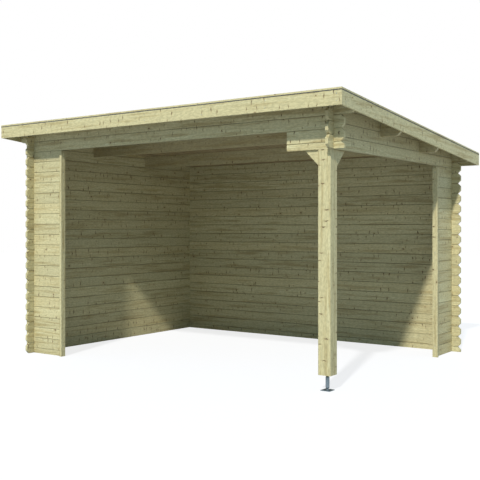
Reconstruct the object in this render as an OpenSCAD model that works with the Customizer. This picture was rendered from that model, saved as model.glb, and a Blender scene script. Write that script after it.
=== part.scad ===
// Open garden shelter of interlocking logs under a single-pitch roof.
// Left and back are whole walls, the front and right are open between
// short return walls, and one post on a steel foot carries the free corner.
// X runs to the right, Y to the back and Z up. The origin is on the ground,
// under the middle of the roof.

/* [Logs] */
// Height of one log, from seam to seam
log_h = 114; // [95:1:140]
// Thickness of the logs
log_t = 28; // [22:1:44]
// How far a log runs on past the wall that it crosses
log_end = 98; // [60:1:140]
// Slanted cut above and below the free end of a log
end_chamfer = 32; // [10:1:45]
// Chamfer along both edges of each seam
seam_chamfer = 4; // [1:0.5:6]
// Width of the tongue on top of a log
tongue_w = 10; // [6:0.5:14]
// Height of the tongue
tongue_h = 8; // [4:0.5:12]

/* [Plan] */
// Width over the outer faces of the side walls
wall_w = 3790; // [3000:10:4800]
// Depth over the outer faces of the front and back walls
wall_d = 2780; // [2200:10:3600]
// Front return wall, from the outside of the left wall to its cut end
left_return = 468; // [250:1:900]
// Side return wall, from the outside of the back wall to its cut end
right_return = 498; // [250:1:900]

/* [Heights] */
// Whole logs in the front return wall, over its half log
front_rows = 19; // [15:1:22]
// Whole logs in the right return wall
side_rows = 18; // [14:1:21]
// Whole logs in the back wall, between its half log and its top log
back_rows = 18; // [14:1:21]
// Height of the top log of the front beam, at its outer face
front_top_log = 119; // [100:1:150]
// Height of the top log of the back wall, at its outer face
back_top_log = 111; // [95:1:150]

/* [Header] */
// Header over the post, from the outside of the side beam to its cut end
header_len = 463; // [300:1:900]

/* [Jambs] */
// Width of the boards over the cut log ends, across the wall
jamb_w = 56; // [45:1:90]
// Thickness of the jamb boards
jamb_t = 28; // [16:1:40]
// Room over the jamb boards, for the logs to settle
settle_gap = 28; // [10:1:60]

/* [Purlins] */
// Number of purlins between the front beam and the back wall
purlin_count = 2; // [2:1:4]
// Thickness of a purlin
purlin_t = 44; // [28:1:70]
// Height of a purlin
purlin_h = 140; // [100:1:180]

/* [Roof] */
// Roof outside the side walls, to the outer face of the fascia
side_overhang = 213; // [120:1:400]
// Roof outside the front and back walls, to the outer face of the fascia
end_overhang = 256; // [120:1:450]
// Thickness of the roof boards
deck_t = 19; // [15:1:28]
// Thickness of the roofing felt
felt_t = 3; // [2:0.5:6]
// Height of the fascia boards
fascia_h = 127; // [95:1:180]
// Thickness of the fascia boards
fascia_t = 18; // [14:1:28]
// Width of the trim laths on top of the fascia
trim_w = 45; // [30:1:70]
// Thickness of the trim laths
trim_t = 14; // [8:1:22]

/* [Post] */
// Side of the square post
post_w = 120; // [90:1:160]
// From the outside of the side beam to the right face of the post
post_inset = 32; // [0:1:60]
// Eased edges of the post
post_ease = 4; // [1:0.5:8]
// Leg of the triangular braces
brace_leg = 140; // [90:1:300]
// Thickness of the braces
brace_t = 45; // [28:1:60]
// How far a brace reaches under the log that it carries
brace_lap = 9; // [4:1:20]

/* [Foot] */
// Free height from the ground to the underside of the post
foot_h = 134; // [90:1:220]
// Side of the square foot plate
plate_w = 90; // [70:1:120]
// Thickness of the foot plate
plate_t = 5; // [4:0.5:10]
// Spacing of the anchor holes in the foot plate, both ways
hole_spacing = 62; // [45:1:90]
// Diameter of the anchor holes
hole_d = 9; // [6:0.5:13]
// Diameter of the threaded rod
rod_d = 16; // [12:1:24]
// Depth of the rod in the post
rod_depth = 90; // [50:1:150]
// Diameter of the sleeve on the rod
sleeve_d = 34; // [26:1:44]
// Bare rod under and over the sleeve
rod_bare = 13; // [6:1:30]
// Height of the tapered ends of the sleeve
sleeve_taper = 9; // [3:1:16]

/* [Hidden] */
$fn = 48;
// Air between pieces that lie against each other
fit = 0.3;
// Slack that a cut reaches past the solid it cuts
over = 1;

timber = "#C9C49B";
timber_shade = "#B3AE86";
timber_dark = "#8E8765";
zinc = "#7C8B92";
felt_grey = "#4B4F50";

// Outer faces of the walls
x_left = -wall_w / 2;
x_right = wall_w / 2;
y_front = -wall_d / 2;
y_back = wall_d / 2;

// Roof plane: the underside of the roof boards
front_top = (front_rows + 1.5) * log_h + front_top_log;
back_top = (back_rows + 0.5) * log_h + back_top_log;
roof_slope = (front_top - back_top) / wall_d;
function roof_z(y) = front_top - roof_slope * (y - y_front);

// Heights of the openings
front_opening_h = (front_rows + 0.5) * log_h;
side_opening_h = side_rows * log_h;

// Roof edges
eave_x = wall_w / 2 + side_overhang;
eave_y = wall_d / 2 + end_overhang;
tail_x = eave_x - fascia_t - fit;
fascia_top = deck_t + felt_t;

// Rows of the side walls that the slope of the roof cuts
first_cut_row = floor(roof_z(y_back + log_end) / log_h);
last_side_row = ceil(roof_z(y_front - log_end) / log_h) - 1;

// Front faces of the purlins, spread evenly between the front and back walls
purlin_y = [for (i = [1:purlin_count])
    y_front + log_t / 2 + i * (wall_d - log_t) / (purlin_count + 1) - purlin_t / 2];
function purlin_z(y) = roof_z(y + purlin_t) - fit - purlin_h;

// Post: its front face is flush with the front wall
post_x = x_right - post_inset - post_w;
post_y = y_front;
post_axis = [post_x + post_w / 2, post_y + post_w / 2];

// ---- logs: u runs along the wall, v through it, z up ----

// Section of a log between two seams, with its groove and tongue, as v and z
module log_section(z0, is_top) {
    z1 = z0 + log_h - fit;
    high = z0 + 2 * log_h;
    mid = log_t / 2;
    c = seam_chamfer;
    tongue = tongue_w / 2;
    groove = tongue + fit;
    groove_top = z0 + tongue_h;
    below = [[log_t, z0 + c], [log_t - c, z0], [mid + groove, z0], [mid + groove, groove_top],
             [mid - groove, groove_top], [mid - groove, z0], [c, z0], [0, z0 + c]];
    above = is_top
        ? [[0, high], [log_t, high]]
        : [[0, z1 - c], [c, z1], [mid - tongue, z1], [mid - tongue, z1 + tongue_h - fit],
           [mid + tongue, z1 + tongue_h - fit], [mid + tongue, z1], [log_t - c, z1], [log_t, z1 - c]];
    polygon(concat(below, above));
}

// Side view of a log as u and z: a free end is cut back above and below, a
// built-in end is square, and each crossing keeps the middle half of the log
module log_side(z0, u0, u1, free, crossings, floor_z, is_top) {
    z1 = is_top ? z0 + 2 * log_h : z0 + log_h - fit;
    tip = tongue_h;
    c0 = free[0] ? end_chamfer : 0;
    c1 = free[1] ? end_chamfer : 0;
    t0 = free[0] ? c0 + tip : 0;
    t1 = free[1] ? c1 + tip : 0;
    keep_low = z0 + log_h / 4 + fit / 2;
    keep_high = z0 + 3 * log_h / 4 - fit / 2;
    difference() {
        polygon([[u0 + c0, z0], [u1 - c1, z0], [u1, z0 + c1], [u1, z1 - c1], [u1 - t1, z1 + tip],
                 [u0 + t0, z1 + tip], [u0, z1 - c0], [u0, z0 + c0]]);
        translate([u0 - over, floor_z - 2 * log_h])
            square([u1 - u0 + 2 * over, 2 * log_h]);
        for (u = crossings) {
            translate([u - fit, z0 - over])
                square([log_t + 2 * fit, keep_low - z0 + over]);
            translate([u - fit, keep_high])
                square([log_t + 2 * fit, 2 * log_h]);
        }
    }
}

// One log, as its section carried along u and its side view carried through v.
// Its children are flat shapes cut from the side view.
module log(z0, u0, u1, free, crossings, floor_z = 0, is_top = false) {
    intersection() {
        translate([u0 - over, 0, 0])
            rotate([90, 0, 90])
                linear_extrude(u1 - u0 + 2 * over)
                    log_section(z0, is_top);
        translate([0, log_t + over, 0])
            rotate([90, 0, 0])
                linear_extrude(log_t + 2 * over)
                    difference() {
                        log_side(z0, u0, u1, free, crossings, floor_z, is_top);
                        children();
                    }
    }
}

// Everything below the roof boards
module under_roof() {
    y0 = -eave_y;
    y1 = eave_y;
    intersection() {
        children();
        translate([-eave_x, 0, 0])
            rotate([90, 0, 90])
                linear_extrude(2 * eave_x)
                    polygon([[y0, -over], [y1, -over], [y1, roof_z(y1) - fit], [y0, roof_z(y0) - fit]]);
    }
}

// Where the roof boards and the purlins cut the logs of a side wall
module side_cuts() {
    y0 = -eave_y;
    y1 = eave_y;
    high = front_top + 3 * log_h;
    polygon([[y0, roof_z(y0) - fit], [y1, roof_z(y1) - fit], [y1, high], [y0, high]]);
    for (y = purlin_y)
        translate([y - fit, purlin_z(y) - fit])
            square([purlin_t + 2 * fit, high]);
}

// Logs of a side wall, from row a to row b, with its outer face at x
module side_logs(x, a, b, y0, y1, free, crossings) {
    translate([x + log_t, 0, 0])
        rotate([0, 0, 90])
            for (row = [a:b])
                log(row * log_h, y0, y1, free, crossings)
                    side_cuts();
}

// Logs of the front or back wall, which lie half a log lower, with its outer
// or inner face at y. Row 0 is the half log on the ground.
module cross_logs(y, a, b, x0, x1, free, crossings, floor_z = 0) {
    translate([0, y, 0])
        for (row = [a:b])
            log((row - 0.5) * log_h, x0, x1, free, crossings, floor_z);
}

// Top log of the front beam or the back wall: it runs on as a tail to the
// fascia at both sides, and the roof bevels its top
module top_log(y, row) {
    under_roof()
        translate([0, y, 0])
            log((row - 0.5) * log_h, -tail_x, tail_x, [true, true], [x_left, x_right - log_t],
                is_top = true);
}

side_ends = [y_front - log_end, y_back + log_end];
side_crossings = [y_front, y_back - log_t];
cross_ends = [x_left - log_end, x_right + log_end];
cross_crossings = [x_left, x_right - log_t];

// ---- walls ----

module left_wall() {
    color(timber_shade)
        side_logs(x_left, 0, first_cut_row - 1, side_ends[0], side_ends[1], [true, true],
                  side_crossings);
}

module left_gable_logs() {
    color(timber)
        side_logs(x_left, first_cut_row, last_side_row, side_ends[0], side_ends[1], [true, true],
                  side_crossings);
}

module back_wall() {
    color(timber_dark) {
        cross_logs(y_back - log_t, 0, back_rows, cross_ends[0], cross_ends[1], [true, true],
                   cross_crossings);
        top_log(y_back - log_t, back_rows + 1);
    }
}

module left_return_wall() {
    color(timber)
        cross_logs(y_front, 0, front_rows, cross_ends[0], x_left + left_return, [true, false],
                   [cross_crossings[0]]);
}

module right_return_wall() {
    color(timber_shade)
        side_logs(x_right - log_t, 0, side_rows - 1, y_back - right_return, side_ends[1],
                  [false, true], [side_crossings[1]]);
}

// ---- beams over the openings ----

module front_beam() {
    color(timber_dark) {
        cross_logs(y_front, front_rows + 1, front_rows + 1, cross_ends[0], cross_ends[1],
                   [true, true], cross_crossings);
        top_log(y_front, front_rows + 2);
    }
}

// The header fills the step between the side beam and the front beam
module post_header() {
    color(timber)
        cross_logs(y_front, side_rows, front_rows, x_right - header_len, cross_ends[1],
                   [false, true], [cross_crossings[1]], floor_z = side_opening_h);
}

module side_beam() {
    color(timber_shade)
        side_logs(x_right - log_t, side_rows, last_side_row, side_ends[0], side_ends[1],
                  [true, true], side_crossings);
}

// A purlin lies in pockets in the side walls, with a tail cut back from below
module purlin(i) {
    y = purlin_y[i];
    z = purlin_z(y);
    high = z + 2 * purlin_h;
    color(timber_dark)
        under_roof()
            translate([0, y + purlin_t, 0])
                rotate([90, 0, 0])
                    linear_extrude(purlin_t)
                        polygon([[-tail_x + end_chamfer, z], [tail_x - end_chamfer, z],
                                 [tail_x, z + end_chamfer], [tail_x, high], [-tail_x, high],
                                 [-tail_x, z + end_chamfer]]);
}

module purlin_front() {
    purlin(0);
}

// The purlins behind the first one
module purlin_rear() {
    for (i = [1:purlin_count - 1])
        purlin(i);
}

// ---- jamb boards, flush with the inner faces of the walls ----

module left_jamb() {
    color(timber)
        translate([x_left + left_return + fit, y_front + log_t - jamb_w, 0])
            cube([jamb_t, jamb_w, front_opening_h - settle_gap]);
}

module right_jamb() {
    color(timber)
        translate([x_right - log_t, y_back - right_return - fit - jamb_t, 0])
            cube([jamb_w, jamb_t, side_opening_h - settle_gap]);
}

// ---- post, braces and foot ----

module post() {
    e = post_ease;
    w = post_w;
    color(timber)
        difference() {
            translate([post_x, post_y, foot_h])
                linear_extrude(side_opening_h - fit - foot_h)
                    polygon([[e, 0], [w - e, 0], [w, e], [w, w - e], [w - e, w], [e, w], [0, w - e],
                             [0, e]]);
            translate([post_axis[0], post_axis[1], foot_h - over])
                cylinder(d = rod_d + 2 * fit, h = rod_depth + fit + over);
        }
}

// Triangle in the first quadrant, carried through its thickness
module brace() {
    linear_extrude(brace_t)
        polygon([[0, 0], [brace_leg, 0], [0, brace_leg]]);
}

module front_brace() {
    color(timber)
        translate([post_x - fit, y_front + log_t - brace_lap + brace_t, side_opening_h - fit])
            rotate([-90, 0, 180])
                brace();
}

module side_brace() {
    color(timber_shade)
        translate([x_right - log_t + brace_lap, post_y + post_w + fit, side_opening_h - fit])
            rotate([0, 90, 0])
                mirror([0, 0, 1])
                    brace();
}

module foot_plate() {
    color(zinc)
        translate([post_axis[0], post_axis[1], 0])
            difference() {
                translate([-plate_w / 2, -plate_w / 2, 0])
                    cube([plate_w, plate_w, plate_t]);
                for (x = [-1, 1], y = [-1, 1])
                    translate([x * hole_spacing / 2, y * hole_spacing / 2, -over])
                        cylinder(d = hole_d, h = plate_t + 2 * over);
            }
}

module foot_rod() {
    color(zinc)
        translate([post_axis[0], post_axis[1], plate_t])
            cylinder(d = rod_d, h = foot_h + rod_depth - plate_t);
}

// Sleeve that turns on the rod to set the height of the post
module foot_sleeve() {
    r0 = rod_d / 2 + fit;
    r1 = sleeve_d / 2;
    z0 = plate_t + rod_bare;
    z1 = foot_h - rod_bare;
    neck = (r0 + r1) / 2;
    color(zinc)
        translate([post_axis[0], post_axis[1], 0])
            rotate_extrude()
                polygon([[r0, z0], [neck, z0], [r1, z0 + sleeve_taper], [r1, z1 - sleeve_taper],
                         [neck, z1], [r0, z1]]);
}

// ---- roof ----

// Band between two heights over the roof plane, from y0 to y1 and from x0 to x1,
// with plumb ends
module roof_band(x0, x1, y0, y1, low, high) {
    translate([x0, 0, 0])
        rotate([90, 0, 90])
            linear_extrude(x1 - x0)
                polygon([[y0, roof_z(y0) + low], [y1, roof_z(y1) + low], [y1, roof_z(y1) + high],
                         [y0, roof_z(y0) + high]]);
}

deck_x = eave_x - fascia_t - fit;
deck_y = eave_y - fascia_t - fit;

module roof_deck() {
    color(timber_dark)
        roof_band(-deck_x, deck_x, -deck_y, deck_y, 0, deck_t);
}

module roof_felt() {
    color(felt_grey)
        roof_band(-deck_x, deck_x, -deck_y, deck_y, deck_t, fascia_top);
}

// Fascia boards: the front and back ones cover the ends of the side ones
module fascia(x0, x1, y0, y1) {
    color(timber)
        roof_band(x0, x1, y0, y1, fascia_top - fascia_h, fascia_top);
}

module fascia_front() {
    fascia(-eave_x, eave_x, -eave_y, -eave_y + fascia_t);
}

module fascia_back() {
    fascia(-eave_x, eave_x, eave_y - fascia_t, eave_y);
}

module fascia_left() {
    fascia(-eave_x, -eave_x + fascia_t, -deck_y, deck_y);
}

module fascia_right() {
    fascia(eave_x - fascia_t, eave_x, -deck_y, deck_y);
}

// Trim laths lie on the fascia and the edge of the felt
module trim(x0, x1, y0, y1) {
    color(timber_shade)
        roof_band(x0, x1, y0, y1, fascia_top + fit, fascia_top + fit + trim_t);
}

module trim_front() {
    trim(-eave_x, eave_x, -eave_y, -eave_y + trim_w);
}

module trim_back() {
    trim(-eave_x, eave_x, eave_y - trim_w, eave_y);
}

module trim_left() {
    trim(-eave_x, -eave_x + trim_w, -eave_y + trim_w + fit, eave_y - trim_w - fit);
}

module trim_right() {
    trim(eave_x - trim_w, eave_x, -eave_y + trim_w + fit, eave_y - trim_w - fit);
}

left_wall();
left_gable_logs();
back_wall();
left_return_wall();
right_return_wall();
front_beam();
post_header();
side_beam();
purlin_front();
purlin_rear();
left_jamb();
right_jamb();
post();
front_brace();
side_brace();
foot_plate();
foot_rod();
foot_sleeve();
roof_deck();
roof_felt();
fascia_front();
fascia_back();
fascia_left();
fascia_right();
trim_front();
trim_back();
trim_left();
trim_right();
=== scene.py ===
"""Finishes and fine pieces of an open garden shelter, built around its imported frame.

The walls are interlocking logs under a single-pitch roof, and a post on a steel
foot carries the free corner. X runs to the right, Y to the back and Z up, in metres.
"""

import logging
import math
from dataclasses import dataclass
from enum import Enum

import bmesh
import bpy
import numpy as np
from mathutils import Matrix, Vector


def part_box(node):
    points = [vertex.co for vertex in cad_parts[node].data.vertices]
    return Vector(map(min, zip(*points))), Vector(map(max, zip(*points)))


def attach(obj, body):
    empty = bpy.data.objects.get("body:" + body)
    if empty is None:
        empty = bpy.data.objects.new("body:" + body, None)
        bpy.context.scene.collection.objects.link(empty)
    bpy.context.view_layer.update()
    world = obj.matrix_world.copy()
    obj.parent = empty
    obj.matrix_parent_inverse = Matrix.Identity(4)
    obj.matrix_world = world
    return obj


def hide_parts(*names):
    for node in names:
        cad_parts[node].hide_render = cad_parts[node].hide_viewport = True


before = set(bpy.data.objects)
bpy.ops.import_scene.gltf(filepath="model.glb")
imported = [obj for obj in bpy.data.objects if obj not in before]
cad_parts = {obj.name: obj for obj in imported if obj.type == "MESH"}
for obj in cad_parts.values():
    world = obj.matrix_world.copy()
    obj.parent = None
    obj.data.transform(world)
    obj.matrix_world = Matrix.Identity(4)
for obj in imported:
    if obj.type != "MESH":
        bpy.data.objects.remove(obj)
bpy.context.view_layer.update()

log = logging.getLogger("garden_shelter")

Array = np.ndarray
Colour = tuple[float, float, float]
Pair = tuple[float, float]
Point = tuple[float, float, float]
Socket = bpy.types.NodeSocket

LOG_PITCH = 0.114
"""Height of one log, from seam to seam."""

MERGE = 5e-5
"""Points closer than this become one, which closes the poles and seams of turned parts."""

LEFT_JAMB_SEED = 31.0
POST_SEED, FRONT_BRACE_SEED, SIDE_BRACE_SEED = 41.3, 47.0, 48.0
PURLIN_SEED, BOARD_SEED = 51.0, 61.0
FASCIA_SEED, TRIM_SEED = 71.0, 81.0
"""Numbers that give each timber a figure of its own."""

POLE = 1e-5
"""Radius of the ring of points at a pole, before they become one."""

WHITE = (1.0, 1.0, 1.0)


def paint(red: int, green: int, blue: int) -> Colour:
    """A colour as mixed on a 0 to 255 scale, made linear."""
    scaled = np.array([red, green, blue]) / 255.0
    linear = np.where(scaled <= 0.04045, scaled / 12.92, ((scaled + 0.055) / 1.055) ** 2.4)
    return tuple(float(v) for v in linear)


# ---- node building ----


class Graph:
    """Adds the nodes of one node tree and links them."""

    def __init__(self, tree: bpy.types.NodeTree) -> None:
        """Keeps the tree that the nodes go in."""
        self.tree = tree

    def put(self, socket: Socket, value: object) -> None:
        """Links a socket to another one, or sets its value.

        Args:
            socket: the input that takes the value.
            value: an output socket, a number, or three or four numbers.
        """
        if isinstance(value, bpy.types.NodeSocket):
            self.tree.links.new(value, socket)
        elif socket.type == "RGBA" and len(value) == 3:
            socket.default_value = (*value, 1.0)
        else:
            socket.default_value = value

    def add(self, kind: str, inputs: dict | None = None, **settings: object) -> bpy.types.Node:
        """Adds one node.

        Args:
            kind: the node's type name.
            inputs: values or sockets by input name or number.
            settings: the node's own properties.

        Returns:
            The new node.
        """
        node = self.tree.nodes.new(kind)
        for name, value in settings.items():
            setattr(node, name, value)
        for name, value in (inputs or {}).items():
            self.put(node.inputs[name], value)
        return node

    def math(self, operation: str, a: object, b: object = 0.0, c: object = 0.0) -> Socket:
        """One step of arithmetic on numbers, as its output socket."""
        return self.add("ShaderNodeMath", {0: a, 1: b, 2: c}, operation=operation).outputs[0]

    def join(self, x: object, y: object, z: object) -> Socket:
        """Three numbers as one vector."""
        return self.add("ShaderNodeCombineXYZ", {0: x, 1: y, 2: z}).outputs[0]

    def split(self, vector: Socket) -> list[Socket]:
        """The three numbers of a vector."""
        return list(self.add("ShaderNodeSeparateXYZ", {0: vector}).outputs)

    def fade(self, value: object, start: float, end: float, low: float = 0.0,
             high: float = 1.0) -> Socket:
        """Takes a value smoothly from low at start to high at end.

        Args:
            value: the number that drives the fade.
            start: the value at which the fade is at low.
            end: the value at which the fade is at high.
            low: result before start.
            high: result after end.

        Returns:
            The faded value's socket.
        """
        inputs = {"Value": value, "From Min": start, "From Max": end, "To Min": low,
                  "To Max": high}
        node = self.add("ShaderNodeMapRange", inputs, interpolation_type="SMOOTHSTEP")
        return node.outputs["Result"]

    def mix(self, factor: object, a: object, b: object, blend: str = "MIX") -> Socket:
        """Mixes two colours by a factor."""
        node = self.add("ShaderNodeMix", {0: factor, 6: a, 7: b}, data_type="RGBA",
                        blend_type=blend)
        return node.outputs[2]

    def noise(self, vector: Socket, scale: float, detail: float = 2.0,
              roughness: float = 0.5) -> Socket:
        """Smooth noise from 0 to 1 over a vector."""
        inputs = {"Vector": vector, "Scale": scale, "Detail": detail, "Roughness": roughness}
        return self.add("ShaderNodeTexNoise", inputs).outputs[0]

    def cells(self, place: Socket, scale: float) -> dict[str, Socket]:
        """A flat pattern of cells, as its outputs by name."""
        node = self.add("ShaderNodeTexVoronoi", {"Vector": place, "Scale": scale},
                        voronoi_dimensions="2D")
        return {socket.name: socket for socket in node.outputs}

    def bump(self, shader: bpy.types.Node, height: Socket, strength: float,
             depth: float) -> None:
        """Raises the surface of a shader by a height.

        Args:
            shader: the shader.
            height: the height, from 0 to 1.
            strength: share of the bump that shows.
            depth: what a height of one stands for, in metres.
        """
        node = self.add("ShaderNodeBump", {"Strength": strength, "Distance": depth,
                                           "Height": height})
        self.put(shader.inputs["Normal"], node.outputs[0])


@dataclass(frozen=True)
class GroupSocket:
    """One named input or output of a shader group."""

    name: str
    kind: str = "NodeSocketFloat"
    value: object = 0.0


def start_group(name: str, inputs: list[GroupSocket],
                outputs: list[str]) -> tuple[Graph, dict[str, Socket], bpy.types.Node]:
    """Starts a shader node group.

    Args:
        name: the group's name.
        inputs: its inputs, with their kinds and starting values.
        outputs: the names of its outputs, which are all numbers.

    Returns:
        The group's graph, its input sockets by name, and the node that takes its outputs.
    """
    tree = bpy.data.node_groups.new(name, "ShaderNodeTree")
    for item in inputs:
        socket = tree.interface.new_socket(item.name, in_out="INPUT", socket_type=item.kind)
        socket.default_value = item.value
    for title in outputs:
        tree.interface.new_socket(title, in_out="OUTPUT", socket_type="NodeSocketFloat")
    graph = Graph(tree)
    source = graph.add("NodeGroupInput")
    return graph, {s.name: s for s in source.outputs}, graph.add("NodeGroupOutput")


@dataclass(frozen=True)
class Fibre:
    """Noise that is drawn out along the grain, where squeeze shortens the grain."""

    squeeze: float
    fineness: float
    detail: float
    roughness: float = 0.5

    def drawn(self, graph: Graph, place: tuple[Socket, Socket, Socket]) -> Socket:
        """The noise at a place along, across and through the timber."""
        along, across, through = place
        bed = graph.join(graph.math("MULTIPLY", along, self.squeeze), across, through)
        return graph.noise(bed, self.fineness, self.detail, self.roughness)


@dataclass(frozen=True)
class TimberFigure:
    """Growth rings, streaks, pores and knots of one sawn timber.

    The rings are the distance from a pith line beside the timber, which wanders along
    the grain, cut into bands of one ring's width. They part round each knot. Knots are
    the cells' points of a flat pattern over the faces, and slits, where a small branch
    was cut along, are the points of a second one, squeezed along the grain.

    A range is the least value and what luck adds to it. A rim is where a mask is 0 and
    where it is 1, as multiples of the mark's own size.
    """

    log_to_log: float = 37.0
    knots_a_metre: float = 4.6
    knot_squeeze: float = 0.72
    knot_shuffle: float = 11.0
    knot_range: Pair = (0.02, 1.1)
    knot_power: float = 1.6
    least_knot: float = 0.0012
    knot_rim: Pair = (1.15, 0.7)
    eye_rim: Pair = (3.6, 0.9)
    slits_along: float = 18.0
    slits_across: float = 4.2
    slit_shuffle: float = 9.0
    slit_waves: float = 42.0
    slit_swing: float = 0.022
    slit_range: Pair = (0.15, 0.9)
    slit_narrowing: float = 11.5
    slit_rim: Pair = (1.3, 0.55)
    halo_rim: Pair = (3.2, 1.0)
    halo_share: float = 0.8
    pith_waves: tuple[float, float, float] = (0.9, 9.0, 9.0)
    pith_wander: float = 0.036
    pith_aside: float = 0.10
    pith_behind: Pair = (0.012, 0.06)
    ring_parting: float = 0.005
    ring_rise: Pair = (0.15, 0.86)
    ring_fall: Pair = (1.0, 0.93)
    streaks: Fibre = Fibre(0.05, 34.0, 3.0, 0.6)
    mottle: Fibre = Fibre(0.36, 78.0, 3.0, 0.65)
    pores: Fibre = Fibre(0.03, 420.0, 2.0)
    ring_height: float = -0.35
    pore_height: float = 0.5
    streak_height: float = 0.3
    mottle_height: float = 0.5
    knot_height: float = 0.6
    slit_height: float = -7.0

    def tree(self) -> bpy.types.NodeTree:
        """Builds the shader group.

        Returns:
            The group's node tree.
        """
        graph, given, result = start_group(
            "timber_figure",
            [GroupSocket("Grain", "NodeSocketVector", (0.0, 0.0, 0.0)),
             GroupSocket("Timber"),
             GroupSocket("Seed"),
             GroupSocket("Ring Width", value=0.0045),
             GroupSocket("Knot Size", value=0.008)],
            ["Rings", "Streaks", "Mottle", "Pores", "Tone", "Warmth", "Knot", "Eye", "Slit",
             "Height"])
        chance = graph.add("ShaderNodeTexWhiteNoise",
                           {"Vector": graph.join(given["Timber"], given["Seed"], 0.37)})
        luck = graph.split(chance.outputs["Color"])
        along, across, through = graph.split(given["Grain"])
        shifted = graph.math("MULTIPLY_ADD", luck[0], self.log_to_log, along)
        face = graph.math("ADD", across, through)
        place = (shifted, across, through)
        knot, eye = self.knots(graph, shifted, face, luck, given["Knot Size"])
        slit, halo = self.slits(graph, shifted, face, luck)
        rings = self.rings(graph, place, luck, eye, given["Ring Width"])
        streaks, mottle, pores = (fibre.drawn(graph, place)
                                  for fibre in (self.streaks, self.mottle, self.pores))
        height = graph.math("MULTIPLY", pores, self.pore_height)
        for mask, rise in ((rings, self.ring_height), (streaks, self.streak_height),
                           (mottle, self.mottle_height), (knot, self.knot_height),
                           (slit, self.slit_height)):
            height = graph.math("MULTIPLY_ADD", mask, rise, height)
        outputs = {"Rings": rings, "Streaks": streaks, "Mottle": mottle, "Pores": pores,
                   "Tone": luck[2], "Warmth": luck[0], "Knot": knot,
                   "Eye": graph.math("MAXIMUM", eye, halo), "Slit": slit, "Height": height}
        for name, socket in outputs.items():
            graph.put(result.inputs[name], socket)
        return graph.tree

    def knots(self, graph: Graph, along: Socket, face: Socket, luck: list[Socket],
              knot_size: Socket) -> tuple[Socket, Socket]:
        """Marks the knots.

        Args:
            graph: the group's graph.
            along: length along the grain.
            face: length across the faces.
            luck: the timber's own three numbers.
            knot_size: radius of a large knot.

        Returns:
            The masks of the knots, and of the wider eyes round them.
        """
        place = graph.join(graph.math("MULTIPLY", along, self.knot_squeeze),
                           graph.math("MULTIPLY_ADD", luck[1], self.knot_shuffle, face), 0.0)
        cells = graph.cells(place, self.knots_a_metre)
        least, more = self.knot_range
        chance = graph.math("MULTIPLY_ADD", graph.split(cells["Color"])[0], more, least)
        size = graph.math("MULTIPLY", knot_size, graph.math("POWER", chance, self.knot_power))
        reach = graph.math("DIVIDE",
                           graph.math("DIVIDE", cells["Distance"], self.knots_a_metre),
                           graph.math("MAXIMUM", size, self.least_knot))
        return graph.fade(reach, *self.knot_rim), graph.fade(reach, *self.eye_rim)

    def slits(self, graph: Graph, along: Socket, face: Socket,
              luck: list[Socket]) -> tuple[Socket, Socket]:
        """Marks the slits.

        Args:
            graph: the group's graph.
            along: length along the grain.
            face: length across the faces.
            luck: the timber's own three numbers.

        Returns:
            The masks of the slits, and of the halos round them.
        """
        bend = graph.noise(graph.join(along, face, luck[1]), self.slit_waves, 1.0)
        bent = graph.math("MULTIPLY_ADD", bend, self.slit_swing, along)
        place = graph.join(graph.math("MULTIPLY", bent, self.slits_along),
                           graph.math("MULTIPLY_ADD", luck[2], self.slit_shuffle,
                                      graph.math("MULTIPLY", face, self.slits_across)), 0.0)
        cells = graph.cells(place, 1.0)
        least, more = self.slit_range
        size = graph.math("MULTIPLY_ADD", graph.split(cells["Color"])[1], more, least)
        reach = graph.math("DIVIDE",
                           graph.math("MULTIPLY", cells["Distance"], self.slit_narrowing), size)
        halo = graph.math("MULTIPLY", graph.fade(reach, *self.halo_rim), self.halo_share)
        return graph.fade(reach, *self.slit_rim), halo

    def rings(self, graph: Graph, place: tuple[Socket, Socket, Socket], luck: list[Socket],
              eye: Socket, ring_width: Socket) -> Socket:
        """Marks the dark latewood of each ring.

        Args:
            graph: the group's graph.
            place: lengths along, across and through the timber.
            luck: the timber's own three numbers.
            eye: mask of the eyes round the knots.
            ring_width: width of one ring.

        Returns:
            The mask of the latewood.
        """
        bed = graph.join(*(graph.math("MULTIPLY", length, waves)
                           for length, waves in zip(place, self.pith_waves)))
        wander = graph.math("MULTIPLY_ADD", graph.noise(bed, 1.0, 2.0), self.pith_wander,
                            -self.pith_wander / 2)
        aside = graph.math("ADD", place[1], graph.math("MULTIPLY_ADD", luck[1],
                                                       self.pith_aside, -self.pith_aside / 2))
        least, more = self.pith_behind
        behind = graph.math("ADD", place[2], graph.math("MULTIPLY_ADD", luck[2], more, least))
        radius = graph.math("SQRT", graph.math("ADD", graph.math("MULTIPLY", aside, aside),
                                               graph.math("MULTIPLY", behind, behind)))
        radius = graph.math("ADD", radius, wander)
        radius = graph.math("ADD", radius, graph.math("MULTIPLY", eye, self.ring_parting))
        band = graph.math("FRACT", graph.math("DIVIDE", radius, ring_width))
        return graph.math("MULTIPLY", graph.fade(band, *self.ring_rise),
                          graph.fade(band, *self.ring_fall))


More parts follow.
